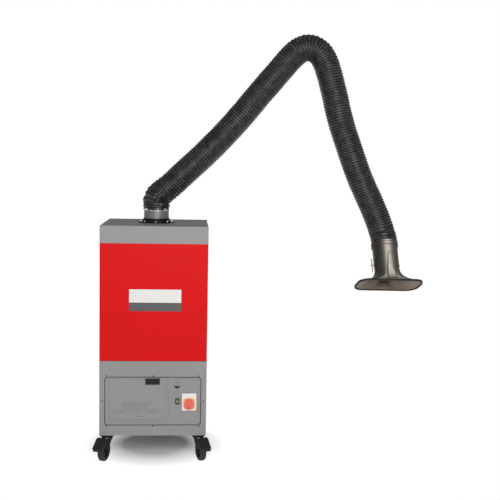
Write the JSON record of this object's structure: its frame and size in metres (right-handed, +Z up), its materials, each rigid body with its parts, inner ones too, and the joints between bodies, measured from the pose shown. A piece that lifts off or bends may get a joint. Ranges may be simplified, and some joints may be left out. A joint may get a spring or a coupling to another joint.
{
  "type": "mobile fume extractor",
  "caption": "Wheeled filter cabinet with a self-supporting articulated hose arm and an oval hood that draws in solder and weld fume.",
  "frame": {"origin": "on the floor, under the centre of the cabinet", "axes": "+Z up, -Y the control panel side, +X the way the arm reaches at rest"},
  "size_m": [2.06, 0.798, 2.6665],
  "materials": {
    "grey_paint": "satin powder coat",
    "red_paint": "satin powder coat",
    "black_paint": "satin",
    "zinc_steel": "zinc plated",
    "galvanised_sheet": "galvanised, spangled",
    "hose_fabric": "coated cloth over a wire helix",
    "hood_plastic": "dark warm grey moulding",
    "rim_rubber": "matte",
    "black_plastic": "fine texture",
    "display_window": "glossy",
    "white_plastic": "smooth",
    "yellow_plastic": "smooth",
    "red_plastic": "smooth",
    "light_plastic": "smooth",
    "seal_rubber": "matte",
    "plate_print": "two-tone print",
    "cast_alloy": "cast",
    "filter_cloth": "pleated felt",
    "tyre_rubber": "matte",
    "lever_zinc": "satin"
  },
  "bodies": {
    "cabinet": {"base_pan": "grey_paint", "lower_housing": "grey_paint", "control_panel": "grey_paint", "panel_seal": "seal_rubber", "panel_screws": "black_paint", "hour_meter": "display_window", "signal_horn": "grey_paint", "rocker_bezel": "black_plastic", "switch_base": "white_plastic", "switch_ring": "yellow_plastic", "filter_housing": "red_paint", "name_plate": "plate_print", "door_hinges": "black_paint", "filter_cassette": "filter_cloth", "spark_trap": "galvanised_sheet", "partition": "galvanised_sheet", "fan_housing": "galvanised_sheet", "fan_motor": "cast_alloy", "top_housing": "grey_paint", "arm_flange": "black_paint", "flange_bolts": "zinc_steel", "cable_gland": "black_plastic", "caster_plates": "black_paint", "rear_caster_forks": "black_paint"},
    "rocker": {"start_rocker": "light_plastic"},
    "switch": {"switch_knob": "red_plastic"},
    "door": {"service_door": "red_paint", "door_seal": "seal_rubber"},
    "latch": {"door_latch": "black_plastic"},
    "fan": {"fan_impeller": "cast_alloy"},
    "left_caster": {"left_caster_fork": "black_paint"},
    "right_caster": {"right_caster_fork": "black_paint"},
    "left_pedal": {"left_brake_pedal": "black_plastic"},
    "right_pedal": {"right_brake_pedal": "black_plastic"},
    "front_left_wheel": {"front_left_tyre": "tyre_rubber", "front_left_rim": "black_plastic"},
    "front_right_wheel": {"front_right_tyre": "tyre_rubber", "front_right_rim": "black_plastic"},
    "rear_left_wheel": {"rear_left_tyre": "tyre_rubber", "rear_left_rim": "black_plastic"},
    "rear_right_wheel": {"rear_right_tyre": "tyre_rubber", "rear_right_rim": "black_plastic"},
    "slew": {"slew_ring": "black_paint", "hose_collar": "galvanised_sheet", "hose_clamp": "zinc_steel", "shoulder_bracket": "zinc_steel", "hose_base_bend": "hose_fabric"},
    "lower_arm": {"lower_arm_beam": "zinc_steel", "hose_lower": "hose_fabric", "hose_elbow_bend": "hose_fabric"},
    "upper_arm": {"upper_arm_beam": "zinc_steel", "hose_upper": "hose_fabric", "hose_hood_bend": "hose_fabric"},
    "wrist": {"wrist_bracket": "zinc_steel"},
    "hood_neck": {"neck_ring": "hood_plastic"},
    "hood": {"hood_shell": "hood_plastic", "hood_rim": "rim_rubber", "hood_screws": "zinc_steel"},
    "damper": {"damper_plate": "galvanised_sheet", "damper_lever": "lever_zinc"}
  },
  "joints": [
    {"name": "arm_slew", "type": "hinge", "parent": "cabinet", "child": "slew", "pos_m": [0, 0, 1.475], "axis": [0, 0, 1], "continuous": true},
    {"name": "shoulder_tilt", "type": "hinge", "parent": "slew", "child": "lower_arm", "pos_m": [0, 0, 1.601], "axis": [0, 1, 0], "range_deg": [-35, 20], "deforming": ["hose_base_bend"]},
    {"name": "elbow_bend", "type": "hinge", "parent": "lower_arm", "child": "upper_arm", "pos_m": [0.965, 0, 2.581], "axis": [0, 1, 0], "range_deg": [-60, 25], "deforming": ["hose_elbow_bend"]},
    {"name": "wrist_tilt", "type": "hinge", "parent": "upper_arm", "child": "wrist", "pos_m": [1.426, 0, 1.515], "axis": [0, -1, 0], "range_deg": [-45, 45], "deforming": ["hose_hood_bend"]},
    {"name": "hood_nod", "type": "hinge", "parent": "wrist", "child": "hood_neck", "pos_m": [1.472, 0, 1.404], "axis": [0.9997, 0.0119, 0.0233], "range_deg": [-40, 35]},
    {"name": "hood_swivel", "type": "hinge", "parent": "hood_neck", "child": "hood", "pos_m": [1.47396, -0.03404, 1.3372], "axis": [0.0262, -0.4538, -0.8907], "continuous": true},
    {"name": "damper_turn", "type": "hinge", "parent": "hood", "child": "damper", "pos_m": [1.47794, -0.10302, 1.20181], "axis": [0.9942, 0.105, -0.0243], "range_deg": [0, 90]},
    {"name": "switch_turn", "type": "hinge", "parent": "cabinet", "child": "switch", "pos_m": [0.222, -0.3275, 0.359], "axis": [0, -1, 0], "range_deg": [0, 90]},
    {"name": "rocker_press", "type": "hinge", "parent": "cabinet", "child": "rocker", "pos_m": [0.15, -0.3215, 0.373], "axis": [1, 0, 0], "range_deg": [0, 8], "stiffness_Nm_per_rad": 1},
    {"name": "door_swing", "type": "hinge", "parent": "cabinet", "child": "door", "pos_m": [-0.304, 0.3365, 0.985], "axis": [0, 0, 1], "range_deg": [0, 110]},
    {"name": "latch_turn", "type": "hinge", "parent": "door", "child": "latch", "pos_m": [0.238, 0.346, 0.985], "axis": [0, 1, 0], "range_deg": [0, 90]},
    {"name": "fan_spin", "type": "hinge", "parent": "cabinet", "child": "fan", "pos_m": [0, 0, 0.5], "axis": [0, 0, 1], "continuous": true},
    {"name": "left_caster_swivel", "type": "hinge", "parent": "cabinet", "child": "left_caster", "pos_m": [-0.281, -0.285, 0.145], "axis": [0, 0, 1], "continuous": true},
    {"name": "front_left_roll", "type": "hinge", "parent": "left_caster", "child": "front_left_wheel", "pos_m": [-0.29742, -0.3301, 0.0625], "axis": [-0.9397, 0.342, 0], "continuous": true},
    {"name": "left_brake_press", "type": "hinge", "parent": "left_caster", "child": "left_pedal", "pos_m": [-0.30699, -0.35642, 0.1265], "axis": [0.9397, -0.342, 0], "range_deg": [0, 8]},
    {"name": "rear_left_roll", "type": "hinge", "parent": "cabinet", "child": "rear_left_wheel", "pos_m": [-0.298, 0.25, 0.0625], "axis": [-1, 0, 0], "continuous": true},
    {"name": "right_caster_swivel", "type": "hinge", "parent": "cabinet", "child": "right_caster", "pos_m": [0.281, -0.285, 0.145], "axis": [0, 0, 1], "continuous": true},
    {"name": "front_right_roll", "type": "hinge", "parent": "right_caster", "child": "front_right_wheel", "pos_m": [0.29742, -0.3301, 0.0625], "axis": [-0.9397, -0.342, 0], "continuous": true},
    {"name": "right_brake_press", "type": "hinge", "parent": "right_caster", "child": "right_pedal", "pos_m": [0.30699, -0.35642, 0.1265], "axis": [0.9397, 0.342, 0], "range_deg": [0, 8]},
    {"name": "rear_right_roll", "type": "hinge", "parent": "cabinet", "child": "rear_right_wheel", "pos_m": [0.298, 0.25, 0.0625], "axis": [-1, 0, 0], "continuous": true}
  ]
}
